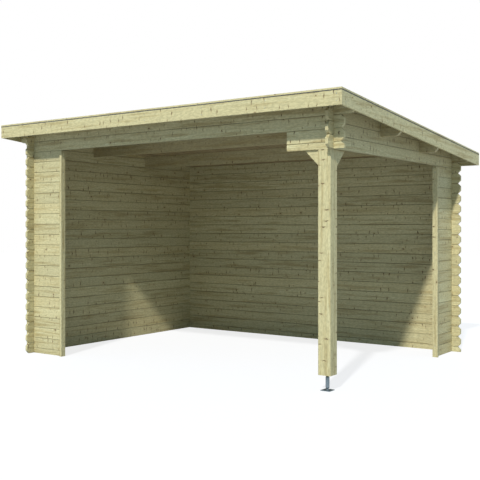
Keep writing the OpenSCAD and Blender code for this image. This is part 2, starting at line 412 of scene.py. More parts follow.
def mineral_speckle() -> bpy.types.NodeTree:
    """Grains of two sizes, as crystals on zinc or slate chips on felt.

    Returns:
        The group's node tree, which gives each grain's shade and the surface's height.
    """
    graph, given, result = start_group(
        "mineral_speckle",
        [GroupSocket("Place", "NodeSocketVector", (0.0, 0.0, 0.0)),
         GroupSocket("Coarse", value=60.0),
         GroupSocket("Fine", value=400.0)],
        ["Shade", "Chips", "Height"])
    cells = graph.add("ShaderNodeTexVoronoi",
                      {"Vector": given["Place"], "Scale": given["Coarse"]})
    shade = graph.split(cells.outputs["Color"])[0]
    chips = graph.add("ShaderNodeTexNoise",
                      {"Vector": given["Place"], "Scale": given["Fine"], "Detail": 3.0})
    height = graph.math("MULTIPLY_ADD", chips.outputs[0], 0.8,
                        graph.math("MULTIPLY", cells.outputs["Distance"], 0.2))
    for name, socket in {"Shade": shade, "Chips": chips.outputs[0], "Height": height}.items():
        graph.put(result.inputs[name], socket)
    return graph.tree


class Groups:
    """The shader groups, each built once, when it is first asked for."""

    built: dict[str, bpy.types.NodeTree] = {}
    makers = {"timber_figure": TimberFigure().tree, "mineral_speckle": mineral_speckle}

    @classmethod
    def place(cls, graph: Graph, name: str, inputs: dict) -> bpy.types.Node:
        """Puts a group in a material.

        Args:
            graph: the material's graph.
            name: the group's name.
            inputs: values or sockets by input name.

        Returns:
            The group's node.
        """
        if name not in cls.built:
            cls.built[name] = cls.makers[name]()
        node = graph.add("ShaderNodeGroup", node_tree=cls.built[name])
        for title, value in inputs.items():
            graph.put(node.inputs[title], value)
        return node


def start_material(name: str) -> tuple[bpy.types.Material, Graph, bpy.types.Node]:
    """A new material with nothing but its shader and output.

    Args:
        name: the material's name.

    Returns:
        The material, its graph, and its Principled shader.
    """
    material = bpy.data.materials.new(name)
    material.use_nodes = True
    material.node_tree.nodes.clear()
    graph = Graph(material.node_tree)
    shader = graph.add("ShaderNodeBsdfPrincipled")
    graph.add("ShaderNodeOutputMaterial", {"Surface": shader.outputs[0]})
    return material, graph, shader


# ---- finishes ----


class Axis(Enum):
    """A direction of the shelter: across its width, back through its depth, or upright."""

    ACROSS = 0
    DEEP = 1
    UPRIGHT = 2


@dataclass(frozen=True)
class Lay:
    """How the timbers of a piece lie.

    Timbers are counted along stack, from start, in steps of pitch. A pitch of zero is a
    single timber, with its middle at start.
    """

    grain: Axis
    stack: Axis
    pitch: float = 0.0
    start: float = 0.0
    middle: float = 0.0
    seed: float = 0.0

    @property
    def through(self) -> Axis:
        """The direction that is neither the grain nor the stack."""
        return Axis(3 - self.grain.value - self.stack.value)


@dataclass(frozen=True)
class TimberFinish:
    """Pressure-treated softwood, sawn or planed, with painted shade along the seams between timbers.
    """

    sapwood: Colour = paint(209, 200, 153)
    latewood: Colour = paint(184, 167, 116)
    streak: Colour = paint(166, 148, 98)
    heart: Colour = paint(196, 178, 126)
    knot: Colour = paint(104, 84, 54)
    ring_of_knot: Colour = paint(160, 138, 92)
    # seam: painted shade for the shadow in the grooves between logs and boards, with dirt in the
    # joints.
    slit: Colour = paint(84, 66, 42)
    seam: Colour = paint(104, 98, 70)
    end_grain: Colour = paint(190, 178, 132)
    ring_share: float = 0.55
    streak_share: float = 0.72
    mottle_share: float = 0.2
    tone_spread: float = 0.12
    streak_band: Pair = (0.48, 0.68)
    heart_band: Pair = (0.3, 1.0)
    heart_share: float = 0.3
    pore_band: Pair = (0.3, 0.7)
    pore_tone: float = 0.93
    mottle_band: Pair = (0.36, 0.62)
    eye_share: float = 0.35
    knot_share: float = 0.85
    slit_share: float = 0.85
    end_band: Pair = (0.8, 0.95)
    end_share: float = 0.55
    # How wide and how dark the painted shade along the seams is.
    seam_shade_band: Pair = (0.0055, 0.0005)
    seam_shade_shares: Pair = (0.35, 0.75)
    ring_width: float = 0.0045
    knot_size: float = 0.008
    roughness: float = 0.62
    ring_gloss: Pair = (0.08, -0.06)
    shine: float = 0.3
    bump: float = 0.35
    bump_depth: float = 0.0008

    def material(self, name: str, lay: Lay) -> bpy.types.Material:
        """The finish on timbers that lie one way.

        Args:
            name: the material's name.
            lay: how the timbers lie.

        Returns:
            The material.
        """
        material, graph, shader = start_material(name)
        texture = graph.add("ShaderNodeTexCoord").outputs
        place, timber, seam = self.laid(graph, texture["Object"], lay)
        figure = Groups.place(graph, "timber_figure", {
            "Grain": graph.join(*place), "Timber": timber, "Seed": lay.seed,
            "Ring Width": self.ring_width, "Knot Size": self.knot_size}).outputs
        colour = self.marked(graph, figure, self.grown(graph, figure))
        facing = graph.split(texture["Normal"])[lay.grain.value]
        cut = graph.fade(graph.math("ABSOLUTE", facing), *self.end_band, 0.0, self.end_share)
        colour = graph.mix(cut, colour, self.end_grain)
        # Painted shade: darkens each seam by a share that follows the streaks, for the shadow in the
        # grooves between timbers, with dirt in the joints.
        if seam is not None:
            depth = graph.fade(figure["Streaks"], 0.35, 0.65, *self.seam_shade_shares)
            colour = graph.mix(graph.math("MULTIPLY", seam, depth), colour, self.seam)
        graph.put(shader.inputs["Base Color"], colour)
        early, late = self.ring_gloss
        graph.put(shader.inputs["Roughness"],
                  graph.fade(figure["Rings"], 0.0, 1.0, self.roughness + early,
                             self.roughness + late))
        shader.inputs["Specular IOR Level"].default_value = self.shine
        graph.bump(shader, figure["Height"], self.bump, self.bump_depth)
        return material

    def laid(self, graph: Graph, place: Socket, lay: Lay) -> tuple[tuple, object, object]:
        """Finds which timber a place is on, and where on it.

        Args:
            graph: the material's graph.
            place: the place in the piece's own coordinates.
            lay: how the timbers lie.

        Returns:
            The lengths along, across and through the timber, its number, and the mask of
            the seams, where shade is painted, or None for a single timber.
        """
        parts = graph.split(place)
        along = parts[lay.grain.value]
        stacked = graph.math("SUBTRACT", parts[lay.stack.value], lay.start)
        through = graph.math("SUBTRACT", parts[lay.through.value], lay.middle)
        if not lay.pitch:
            return (along, stacked, through), 0.0, None
        rows = graph.math("DIVIDE", stacked, lay.pitch)
        share = graph.math("SUBTRACT", graph.math("FRACT", rows), 0.5)
        across = graph.math("MULTIPLY", share, lay.pitch)
        edge = graph.math("SUBTRACT", 0.5, graph.math("ABSOLUTE", share))
        # Mask of the seam's painted shade, 1 on the seam and 0 a few millimetres from it.
        seam = graph.fade(graph.math("MULTIPLY", edge, lay.pitch), *self.seam_shade_band)
        return (along, across, through), graph.math("FLOOR", rows), seam

    def grown(self, graph: Graph, figure: dict) -> Socket:
        """Colour of the clear wood.

        Args:
            graph: the material's graph.
            figure: the figure's masks by name.

        Returns:
            The colour, with rings, streaks and heartwood, and each timber's own tone.
        """
        colour = graph.mix(graph.math("MULTIPLY", figure["Rings"], self.ring_share),
                           self.sapwood, self.latewood)
        streaks = graph.fade(figure["Streaks"], *self.streak_band, 0.0, self.streak_share)
        colour = graph.mix(streaks, colour, self.streak)
        heart = graph.fade(figure["Warmth"], *self.heart_band, 0.0, self.heart_share)
        colour = graph.mix(heart, colour, self.heart)
        tone = graph.fade(figure["Tone"], 0.0, 1.0, 1.0 - self.tone_spread, 1.0)
        pores = graph.fade(figure["Pores"], *self.pore_band, self.pore_tone, 1.0)
        mottle = graph.fade(figure["Mottle"], *self.mottle_band, 1.0 - self.mottle_share, 1.0)
        shade = graph.math("MULTIPLY", graph.math("MULTIPLY", tone, pores), mottle)
        grey = graph.add("ShaderNodeCombineColor", {0: shade, 1: shade, 2: shade}).outputs[0]
        return graph.mix(1.0, colour, grey, "MULTIPLY")

    def marked(self, graph: Graph, figure: dict, colour: Socket) -> Socket:
        """Lays the eyes, knots and slits over the clear wood."""
        for mask, share, mark in (("Eye", self.eye_share, self.ring_of_knot),
                                  ("Knot", self.knot_share, self.knot),
                                  ("Slit", self.slit_share, self.slit)):
            colour = graph.mix(graph.math("MULTIPLY", figure[mask], share), colour, mark)
        return colour


@dataclass(frozen=True)
class ZincFinish:
    """Galvanised or plated steel."""

    light: Colour = paint(136, 150, 157)
    dark: Colour = paint(104, 119, 127)
    crystal: float = 240.0
    grit: float = 900.0
    stains: float = 22.0
    stain_share: float = 0.5
    metal: float = 0.85
    roughness: float = 0.42
    bump: float = 0.15
    bump_depth: float = 0.0004

    def material(self, name: str) -> bpy.types.Material:
        """The finish as a material with this name."""
        material, graph, shader = start_material(name)
        place = graph.add("ShaderNodeTexCoord").outputs["Object"]
        speckle = Groups.place(graph, "mineral_speckle", {
            "Place": place, "Coarse": self.crystal, "Fine": self.grit}).outputs
        colour = graph.mix(speckle["Shade"], self.light, self.dark)
        stain = graph.fade(graph.noise(place, self.stains, 3.0), 0.5, 0.75, 0.0,
                           self.stain_share)
        graph.put(shader.inputs["Base Color"], graph.mix(stain, colour, self.dark))
        shader.inputs["Metallic"].default_value = self.metal
        graph.put(shader.inputs["Roughness"],
                  graph.fade(speckle["Chips"], 0.3, 0.7, self.roughness - 0.08,
                             self.roughness + 0.12))
        graph.bump(shader, speckle["Height"], self.bump, self.bump_depth)
        return material


@dataclass(frozen=True)
class FeltFinish:
    """Bitumen roofing felt with slate chips, and tar that bleeds out along each lap."""

    chip: Colour = paint(96, 99, 98)
    tar: Colour = paint(52, 54, 55)
    dust: Colour = paint(122, 122, 114)
    coarse: float = 320.0
    fine: float = 900.0
    bleed: float = 0.014
    bleed_soft: float = 0.004
    bleed_ragged: float = 0.008
    bleed_share: float = 0.8
    cloud_share: float = 0.16
    sheet_spread: float = 0.22
    bump: float = 0.5
    bump_depth: float = 0.001

    def material(self, name: str, start: float, show: float) -> bpy.types.Material:
        """The finish on sheets that lap, with a line of tar along each lap.

        Args:
            name: the material's name.
            start: depth of the first sheet's lower edge.
            show: depth of a sheet that shows.

        Returns:
            The material.
        """
        material, graph, shader = start_material(name)
        place = graph.add("ShaderNodeTexCoord").outputs["Object"]
        speckle = Groups.place(graph, "mineral_speckle", {
            "Place": place, "Coarse": self.coarse, "Fine": self.fine}).outputs
        colour = graph.mix(speckle["Shade"], self.tar, self.chip)
        cloud = graph.fade(graph.noise(place, 3.0, 4.0, 0.6), 0.45, 0.75, 0.0,
                           self.cloud_share)
        colour = graph.mix(cloud, colour, self.dust)
        depth = graph.math("SUBTRACT", start, graph.split(place)[1])
        sheet = graph.math("DIVIDE", depth, show)
        luck = graph.add("ShaderNodeTexWhiteNoise", {"W": graph.math("FLOOR", sheet)},
                         noise_dimensions="1D").outputs["Value"]
        colour = graph.mix(graph.math("MULTIPLY", luck, self.sheet_spread), colour, self.dust)
        above = graph.math("MULTIPLY", graph.math("FRACT", sheet), show)
        ragged = graph.math("MULTIPLY_ADD", graph.noise(place, 60.0, 2.0),
                            self.bleed_ragged, above)
        line = graph.fade(ragged, self.bleed + self.bleed_soft, self.bleed - self.bleed_soft,
                          0.0, self.bleed_share)
        graph.put(shader.inputs["Base Color"], graph.mix(line, colour, self.tar))
        graph.put(shader.inputs["Roughness"],
                  graph.fade(speckle["Chips"], 0.3, 0.7, 0.8, 0.95))
        graph.bump(shader, speckle["Height"], self.bump, self.bump_depth)
        return material


# ---- meshes ----


def grid_faces(rows: int, columns: int, closed: bool = False) -> Array:
    """Corners of the faces of a grid of points, numbered row by row.

    Args:
        rows: points from the first row to the last.
        columns: points in a row.
        closed: True if each row runs back into its own first point.

    Returns:
        One row of four point numbers for each face.
    """
    row = np.arange(rows - 1)[:, None] * columns
    steps = np.arange(columns if closed else columns - 1)[None, :]
    after = (steps + 1) % columns
    corners = np.stack([row + steps, row + after, row + columns + after,
                        row + columns + steps], axis=-1)
    return corners.reshape(-1, 4)


def make_piece(name: str, points: Array, faces: list, material: bpy.types.Material,
               slot: str, smooth: bool = False) -> bpy.types.Object:
    """Makes a finished piece that rides with the frame.

    Args:
        name: the piece's name.
        points: its points, one row each.
        faces: point numbers of each face.
        material: its finish.
        slot: the record's material slot for the piece; not used.
        smooth: True for smooth shading.

    Returns:
        The piece.
    """
    mesh = bpy.data.meshes.new(name)
    mesh.from_pydata(np.asarray(points, float).tolist(), [], [list(map(int, f)) for f in faces])
    mesh.polygons.foreach_set("use_smooth", [smooth] * len(mesh.polygons))
    mesh.materials.append(material)
    closer = bmesh.new()
    closer.from_mesh(mesh)
    bmesh.ops.remove_doubles(closer, verts=closer.verts, dist=MERGE)
    closer.to_mesh(mesh)
    closer.free()
    mesh.update()
    piece = bpy.data.objects.new(name, mesh)
    bpy.context.scene.collection.objects.link(piece)
    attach(piece, "root")
    log.info("%s: %d faces", name, len(mesh.polygons))
    return piece


def prisms(ends: Array) -> tuple[Array, list]:
    """Closed bars, each with a ring of points at its first end and its last end.

    A ring runs anticlockwise as seen from outside the last end.

    Args:
        ends: two by bars by points by three numbers, the same ring at both ends.

    Returns:
        The points, and the faces of sides and ends.
    """
    bars, count = ends.shape[1:3]
    points = ends.transpose(1, 0, 2, 3).reshape(-1, 3)
    ring = np.arange(count)
    after = (ring + 1) % count
    sides = np.stack([ring, after, after + count, ring + count], axis=-1)
    offsets = (np.arange(bars) * 2 * count)[:, None, None]
    caps = np.stack([ring[::-1], ring + count])[None] + offsets
    faces = (sides[None] + offsets).reshape(-1, 4).tolist()
    return points, faces + caps.reshape(-1, count).tolist()


def lathe(profile: Array, around: int) -> tuple[Array, Array]:
    """Turns a profile of radius and height about an upright line through the origin.

    Args:
        profile: points as radius and height.
        around: points round the circle.

    Returns:
        The points and faces, open at both ends of the profile.
    """
    angle = np.linspace(0.0, 2.0 * math.pi, around, endpoint=False)
    radius, height = profile[:, 0, None], profile[:, 1, None]
    points = np.stack([radius * np.cos(angle), radius * np.sin(angle),
                       height + 0.0 * angle], axis=-1)
    return points.reshape(-1, 3), grid_faces(len(profile), around, closed=True)


@dataclass(frozen=True)
class Fixings:
    """Screw or nail heads, sunk until they are nearly flush.

    The shares are parts of the radius: where the rim's chamfer ends, the lip and the floor
    of the recess, and how far the recess's star swells and shrinks.
    """

    radius: float = 0.0042
    proud: float = 0.0005
    sunk: float = 0.0012
    recess: float = 0.0012
    chamfer_share: float = 0.8
    lip_share: float = 0.5
    floor_share: float = 0.42
    star_share: float = 0.16
    around: int = 12

    def heads(self, points: Array, out: Point) -> tuple[Array, Array]:
        """Heads at points on one face.

        Each head is a turned button with a star recess, whose radius swells and shrinks
        from one point round it to the next. It is closed below and in the recess.

        Args:
            points: the middles of the heads.
            out: direction out of the face.

        Returns:
            The points and faces.
        """
        profile = np.array([[POLE, -self.sunk], [self.radius, -self.sunk],
                            [self.radius, 0.0],
                            [self.radius * self.chamfer_share, self.proud],
                            [self.radius * self.lip_share, self.proud],
                            [self.radius * self.floor_share, -self.recess],
                            [POLE, -self.recess]])
        head, faces = lathe(profile, self.around)
        star = 1.0 + self.star_share * np.cos(np.arange(self.around) * math.pi)
        rings = head.reshape(len(profile), self.around, 3)
        lip_and_floor = slice(4, 6)
        rings[lip_and_floor, :, :2] *= star[None, :, None]
        head = rings.reshape(-1, 3)
        normal = np.asarray(out, float) / np.linalg.norm(out)
        helper = np.array([0.0, 0.0, 1.0]) if abs(normal[2]) < 0.9 else np.array([1.0, 0.0, 0.0])
        side = np.cross(helper, normal)
        side /= np.linalg.norm(side)
        up = np.cross(normal, side)
        turned = head @ np.stack([side, up, normal])
        places = np.atleast_2d(points)
        everything = (places[:, None, :] + turned[None]).reshape(-1, 3)
        offsets = (np.arange(len(places)) * len(head))[:, None, None]
        return everything, (faces[None] + offsets).reshape(-1, 4)


def gather(parts: list[tuple[Array, Array]]) -> tuple[Array, Array]:
    """Joins several sets of points and faces into one."""
    shift = np.cumsum([0] + [len(p) for p, _ in parts])[:-1]
    return (np.concatenate([p for p, _ in parts]),
            np.concatenate([f + s for (_, f), s in zip(parts, shift)]))


def node_box(name: str) -> tuple[Array, Array]:
    """Lowest and highest corners of a frame node."""
    low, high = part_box(name)
    return np.array(low), np.array(high)


def outer_face(name: str, thin: int, away: float) -> tuple[float, Point]:
    """Place of a board's outer face, and the direction out of it.

    Args:
        name: the board's node.
        thin: number of the axis through the board's thickness.
        away: 1 or -1, the direction of the outside along that axis.

    Returns:
        The face's place on that axis, and the direction out of it.
    """
    low, high = node_box(name)
    normal = np.zeros(3)
    normal[thin] = away
    return (high if away > 0 else low)[thin], tuple(normal)


def dress(name: str, material: bpy.types.Material) -> None:
    """Gives a frame node its finish."""
    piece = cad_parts[name]
    if not piece.material_slots:
        piece.data.materials.append(material)
    for slot in piece.material_slots:
        slot.material = material
    log.info("%s: dressed as %s", name, material.name)


# ---- the shelter ----


@dataclass
class LogWork:
    """Walls and beams of interlocking logs."""

    pitch: float = LOG_PITCH
    finish: TimberFinish = TimberFinish()
    deep_seed: float = 1.7
    wide_seed: float = 8.3
    deep: tuple[str, ...] = ("left_wall", "left_gable_logs", "right_return_wall", "side_beam")
    wide: tuple[str, ...] = ("back_wall", "left_return_wall", "front_beam", "post_header")

    def build(self) -> None:
        """Dresses every log. The front and back logs lie half a log lower."""
        for number, name in enumerate(self.deep):
            low, high = node_box(name)
            middle = (low[0] + high[0]) / 2
            lay = Lay(Axis.DEEP, Axis.UPRIGHT, self.pitch, 0.0, middle,
                      self.deep_seed + number)
            dress(name, self.finish.material(f"{name}_timber", lay))
        for number, name in enumerate(self.wide):
            low, high = node_box(name)
            middle = (low[1] + high[1]) / 2
            lay = Lay(Axis.ACROSS, Axis.UPRIGHT, self.pitch, self.pitch / 2, middle,
                      self.wide_seed + number)
            dress(name, self.finish.material(f"{name}_timber", lay))


@dataclass
class Jambs:
    """Upright boards over the cut log ends, with their screws."""

    finish: TimberFinish = TimberFinish(tone_spread=0.04, knot_size=0.007)
    screw_heights: tuple[float, ...] = (0.12, 0.62, 1.12, 1.62, 1.98)

    def build(self, zinc: bpy.types.Material) -> None:
        """Dresses both boards and sets their screws.

        Args:
            zinc: the screws' finish.
        """
        parts = []
        for name, thin, out in (("left_jamb", 0, 1.0), ("right_jamb", 1, -1.0)):
            low, high = node_box(name)
            middle = (low + high) / 2
            lay = Lay(Axis.UPRIGHT, Axis(thin), start=middle[thin], middle=middle[1 - thin],
                      seed=LEFT_JAMB_SEED + thin)
            dress(name, self.finish.material(f"{name}_timber", lay))
            points = np.tile(middle, (len(self.screw_heights), 1))
            points[:, 2] = self.screw_heights
            points[:, thin], normal = outer_face(name, thin, out)
            parts.append(Fixings().heads(points, normal))
        make_piece("jamb_screws", *gather(parts), zinc, "zinc_steel")


@dataclass
class PostAndFoot:
    """The free post with its braces, on a steel foot that a thread carries."""

    thread_pitch: float = 0.002
    thread_depth: float = 0.0011
    thread_flank: float = 1.25
    thread_flat: float = 0.1
    samples_per_turn: int = 24
    samples_per_pitch: int = 6
    weld: float = 0.005
    weld_rise: float = 0.8
    weld_ripple: float = 0.12
    weld_steps: int = 18
    weld_bite: float = 0.0006
    weld_sunk: float = 0.0002
    weld_around: int = 72
    weld_rows: int = 6
    brace_clearance: float = 0.0003
    brace_bevel: float = 0.002
    brace_screws: Pair = (0.24, 0.76)
    brace_screw: Fixings = Fixings(radius=0.005)
    finish: TimberFinish = TimberFinish(tone_spread=0.03, knot_size=0.007)

    def build(self, zinc: bpy.types.Material) -> None:
        """Dresses the post, braces and foot, and makes the thread, weld and screws.

        Args:
            zinc: the foot's finish.
        """
        low, high = node_box("post")
        middle = (low + high) / 2
        lay = Lay(Axis.UPRIGHT, Axis.ACROSS, start=middle[0], middle=middle[1], seed=POST_SEED)
        dress("post", self.finish.material("post_timber", lay))
        self.braces(zinc)
        for name in ("foot_plate", "foot_sleeve"):
            dress(name, zinc)
        self.thread(zinc)
        self.weld_bead(zinc)

    def braces(self, zinc: bpy.types.Material) -> None:
        """Dresses the front brace, makes the side one, and sets two screws in each.

        The side brace is a triangle under the beam's height behind the post, with its
        outer face flush with the post's.

        Args:
            zinc: the screws' finish.
        """
        low, high = node_box("front_brace")
        leg, thick = high[2] - low[2], high[1] - low[1]
        middle = (low + high) / 2
        lay = Lay(Axis.ACROSS, Axis.UPRIGHT, start=middle[2], middle=middle[1], seed=FRONT_BRACE_SEED)
        dress("front_brace", self.finish.material("front_brace_timber", lay))
        post = node_box("post")[1]
        back, top = post[1] + self.brace_clearance, high[2]
        lay = Lay(Axis.DEEP, Axis.UPRIGHT, start=middle[2], middle=post[0] - thick / 2,
                  seed=SIDE_BRACE_SEED)
        ends = np.array([[[(x, back, top - leg), (x, back + leg, top), (x, back, top)]]
                         for x in (post[0] - thick, post[0])])
        points, faces = prisms(ends)
        piece = make_piece("side_brace_timber", points, faces,
                           self.finish.material("side_brace_timber", lay), "post_timber")
        bevel = piece.modifiers.new("eased", "BEVEL")
        bevel.width, bevel.segments = self.brace_bevel, 2
        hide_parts("side_brace")
        share = np.array(self.brace_screws)[:, None] * leg
        slant = np.array([0.0, 0.0, 1.0])
        first = np.array([high[0], middle[1], low[2]]) + share * (slant - [1.0, 0.0, 0.0])
        last = (np.array([post[0] - thick / 2, back, low[2]])
                + share * (slant + [0.0, 1.0, 0.0]))
        parts = [self.brace_screw.heads(first, (-1.0, 0.0, -1.0)),
                 self.brace_screw.heads(last, (0.0, 1.0, -1.0))]
        make_piece("brace_screws", *gather(parts), zinc, "zinc_steel")

    def thread(self, zinc: bpy.types.Material) -> None:
        """Makes the threaded rod.

        The radius falls from the crest to the root and back once in each pitch, and the
        place of the crest climbs by one pitch in each turn.

        Args:
            zinc: the rod's finish.
        """
        low, high = node_box("foot_rod")
        axis = (low + high) / 2
        crest = (high[0] - low[0]) / 2
        pitches = (high[2] - low[2]) / self.thread_pitch
        height = np.linspace(low[2], high[2], int(pitches * self.samples_per_pitch))
        angle = np.linspace(0.0, 2.0 * math.pi, self.samples_per_turn, endpoint=False)
        turn = height[:, None] / self.thread_pitch - angle[None] / (2.0 * math.pi)
        wave = 1.0 - np.abs(2.0 * (turn - np.floor(turn)) - 1.0)
        cut = np.clip(self.thread_flank * wave - self.thread_flat, 0.0, 1.0)
        radius = crest - self.thread_depth * cut
        points = np.stack([axis[0] + radius * np.cos(angle), axis[1] + radius * np.sin(angle),
                           np.broadcast_to(height[:, None], radius.shape)], axis=-1)
        rows, columns = radius.shape
        faces = grid_faces(rows, columns, closed=True).tolist()
        faces.append(list(range(columns))[::-1])
        faces.append([(rows - 1) * columns + i for i in range(columns)])
        piece = make_piece("foot_thread", points.reshape(-1, 3), faces, zinc, "zinc_steel")
        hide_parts("foot_rod")

    def weld_bead(self, zinc: bpy.types.Material) -> None:
        """Makes the weld round the foot of the rod.

        A quarter round whose size swells and shrinks with the steps of the torch.

        Args:
            zinc: the weld's finish.
        """
        low, high = node_box("foot_rod")
        plate = node_box("foot_plate")[1]
        axis = (low + high) / 2
        root = (high[0] - low[0]) / 2 - self.weld_bite
        angle = np.linspace(0.0, 2.0 * math.pi, self.weld_around, endpoint=False)
        size = self.weld * (1.0 + self.weld_ripple * np.cos(float(self.weld_steps) * angle))
        lean = np.linspace(0.0, math.pi / 2, self.weld_rows)[:, None]
        out = size[None] * np.cos(lean)
        rise = size[None] * np.sin(lean) * self.weld_rise
        out = np.concatenate([out, 0.0 * out[:1], out[:1]])
        rise = np.concatenate([rise, 0.0 * rise[:1], rise[:1]])
        radius = root + out
        points = np.stack([axis[0] + radius * np.cos(angle), axis[1] + radius * np.sin(angle),
                           plate[2] - self.weld_sunk + rise], axis=-1).reshape(-1, 3)
        faces = grid_faces(len(out), self.weld_around, closed=True)
        make_piece("foot_weld", points, faces, zinc, "zinc_steel", smooth=True)


@dataclass
class Roof:
    """Purlins, boards, felt, fascia and trim of the sloping roof."""

    board_thickness: float = 0.019
    board_width: float = 0.096
    board_joint: float = 0.005
    board_gap: float = 0.0004
    felt_thickness: float = 0.003
    sheet_show: float = 0.86
    sheet_lap: float = 0.08
    least_sheet: float = 0.3
    lap_raised: float = 0.085
    lap_down: float = 0.11
    nail_spacing: float = 0.10
    nail_setback: float = 0.02
    nail_margin: float = 0.06
    felt_nail: Fixings = Fixings(radius=0.005, proud=0.0008, recess=0.0001, around=8)
    drip_drop: float = 0.008
    drip_thickness: float = 0.0016
    fascia_top: float = 0.022
    fascia_height: float = 0.127
    fascia_rows: Pair = (0.032, 0.092)
    fascia_spacing: float = 0.6
    trim_top: float = 0.0363
    trim_spacing: float = 0.32
    trim_nail: Fixings = Fixings(radius=0.0032, recess=0.0001, around=8)
    end_margin: float = 0.05
    planed: TimberFinish = TimberFinish(tone_spread=0.05, knot_size=0.007)
    # Painted shade: the boards' colours are darker than the logs', so that their underside, the
    # soffit, reads as lying in the roof's shade.
    boards: TimberFinish = TimberFinish(
        sapwood=paint(166, 150, 110), latewood=paint(138, 118, 80),
        streak=paint(126, 109, 73), heart=paint(146, 124, 84), knot_size=0.007)
    beams: TimberFinish = TimberFinish(
        sapwood=paint(190, 178, 134), latewood=paint(160, 142, 98), tone_spread=0.05,
        knot_size=0.007)
    felt: FeltFinish = FeltFinish()
    folded: FeltFinish = FeltFinish(chip=paint(78, 75, 67), tar=paint(46, 44, 40))

    def __post_init__(self) -> None:
        """Reads the roof's plane from the frame."""
        self.low, self.high = node_box("roof_deck")
        self.slope = float((self.high[2] - self.low[2] - self.board_thickness)
                           / (self.high[1] - self.low[1]))
        self.out = (0.0, self.slope, 1.0)

    def under(self, y: Array) -> Array:
        """Height of the underside of the boards at a depth."""
        return self.low[2] + self.slope * (self.high[1] - np.asarray(y))

    def build(self, zinc: bpy.types.Material) -> None:
        """Makes and dresses the whole roof.

        Args:
            zinc: the fixings' finish.
        """
        for number, name in enumerate(("purlin_front", "purlin_rear")):
            low, high = node_box(name)
            middle = (low + high) / 2
            lay = Lay(Axis.ACROSS, Axis.UPRIGHT, start=middle[2], middle=middle[1],
                      seed=PURLIN_SEED + number)
            dress(name, self.beams.material(f"{name}_timber", lay))
        self.matchboards()
        self.sheets(zinc)
        self.edges(zinc)

    def matchboards(self) -> None:
        """Makes the roof boards, which run from front to back, in the darker finish that paints the
        soffit's shade.

        Each is a bar with its lower edges chamfered, so that two boards make a V joint.
        """
        width = self.high[0] - self.low[0]
        count = round(width / self.board_width)
        step = width / count
        start = self.low[0] + step * np.arange(count)[:, None]
        joint, gap = self.board_joint, self.board_gap
        x = np.array([gap, joint, step - joint, step - gap, step - gap, gap])[None] + start
        z = np.broadcast_to(np.array([joint, 0.0, 0.0, joint, self.board_thickness,
                                      self.board_thickness]), x.shape)
        ends = np.stack([np.stack([x, np.full_like(x, y), z + self.under(y)], axis=-1)
                         for y in (self.high[1], self.low[1])])
        points, faces = prisms(ends)
        lay = Lay(Axis.DEEP, Axis.ACROSS, step, float(self.low[0]),
                  float((self.low[2] + self.high[2]) / 2), BOARD_SEED)
        # The boards take the darker finish that paints the soffit's shade.
        material = self.boards.material("roof_board_shaded_timber", lay)
        piece = make_piece("roof_matchboards", points, faces, material, "roof_boards")
        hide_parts("roof_deck")

    def sheets(self, zinc: bpy.types.Material) -> None:
        """Makes the felt, in sheets laid from side to side, and the nails along the laps.

        Args:
            zinc: the nails' finish.
        """
        felt = self.felt.material("slated_felt", float(self.high[1]), self.sheet_show)
        back, front = self.high[1], self.low[1]
        lower = np.arange(back, front + self.least_sheet, -self.sheet_show)
        upper = [*(lower[1:] - self.sheet_lap), front]
        parts = [self.sheet(*ends, raised=number > 0)
                 for number, ends in enumerate(zip(lower, upper))]
        piece = make_piece("felt_sheets", *gather(parts), felt, "roofing_felt")
        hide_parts("roof_felt")
        make_piece("felt_nails", *gather([self.lap_nails(y) for y in lower[1:]]), zinc,
                   "zinc_steel")
        self.drip_edge()

    def sheet(self, y0: float, y1: float, raised: bool) -> tuple[Array, Array]:
        """One sheet of felt, of half the felt's thickness.

        A raised sheet lies over the next sheet down at its lap, and comes down to the
        boards behind it.

        Args:
            y0: depth of its lower edge.
            y1: depth of its upper edge.
            raised: True where it laps over another sheet.

        Returns:
            The points and faces.
        """
        thin = self.felt_thickness / 2
        lift = thin if raised else 0.0
        depth = np.array([y0, y0 - self.lap_raised, y0 - self.lap_down, y1])
        base = np.array([lift, lift, 0.0, 0.0]) + self.board_thickness
        x, y = np.meshgrid(np.array([self.low[0], self.high[0]]), depth)
        floor = self.under(y) + base[:, None]
        top = np.stack([x, y, floor + thin], axis=-1).reshape(-1, 3)
        bottom = np.stack([x, y, floor], axis=-1).reshape(-1, 3)
        face, count = grid_faces(len(depth), 2), len(top)
        rim = np.concatenate([np.arange(0, count, 2), np.arange(count - 1, 0, -2)])
        beyond = np.roll(rim, -1)
        skirt = np.stack([rim + count, beyond + count, beyond, rim], axis=-1)
        return (np.concatenate([top, bottom]),
                np.concatenate([face[:, ::-1], face + count, skirt]))

    def lap_nails(self, y0: float) -> tuple[Array, Array]:
        """The nails along the lap of a sheet whose lower edge is at a depth."""
        count = int((self.high[0] - self.low[0]) / self.nail_spacing)
        line = np.linspace(self.low[0] + self.nail_margin, self.high[0] - self.nail_margin,
                           count)
        depth = y0 - self.nail_setback
        height = self.under(depth) + self.board_thickness + self.felt_thickness
        points = np.stack([line, np.full_like(line, depth), np.full_like(line, height)],
                          axis=-1)
        return self.felt_nail.heads(points, self.out)

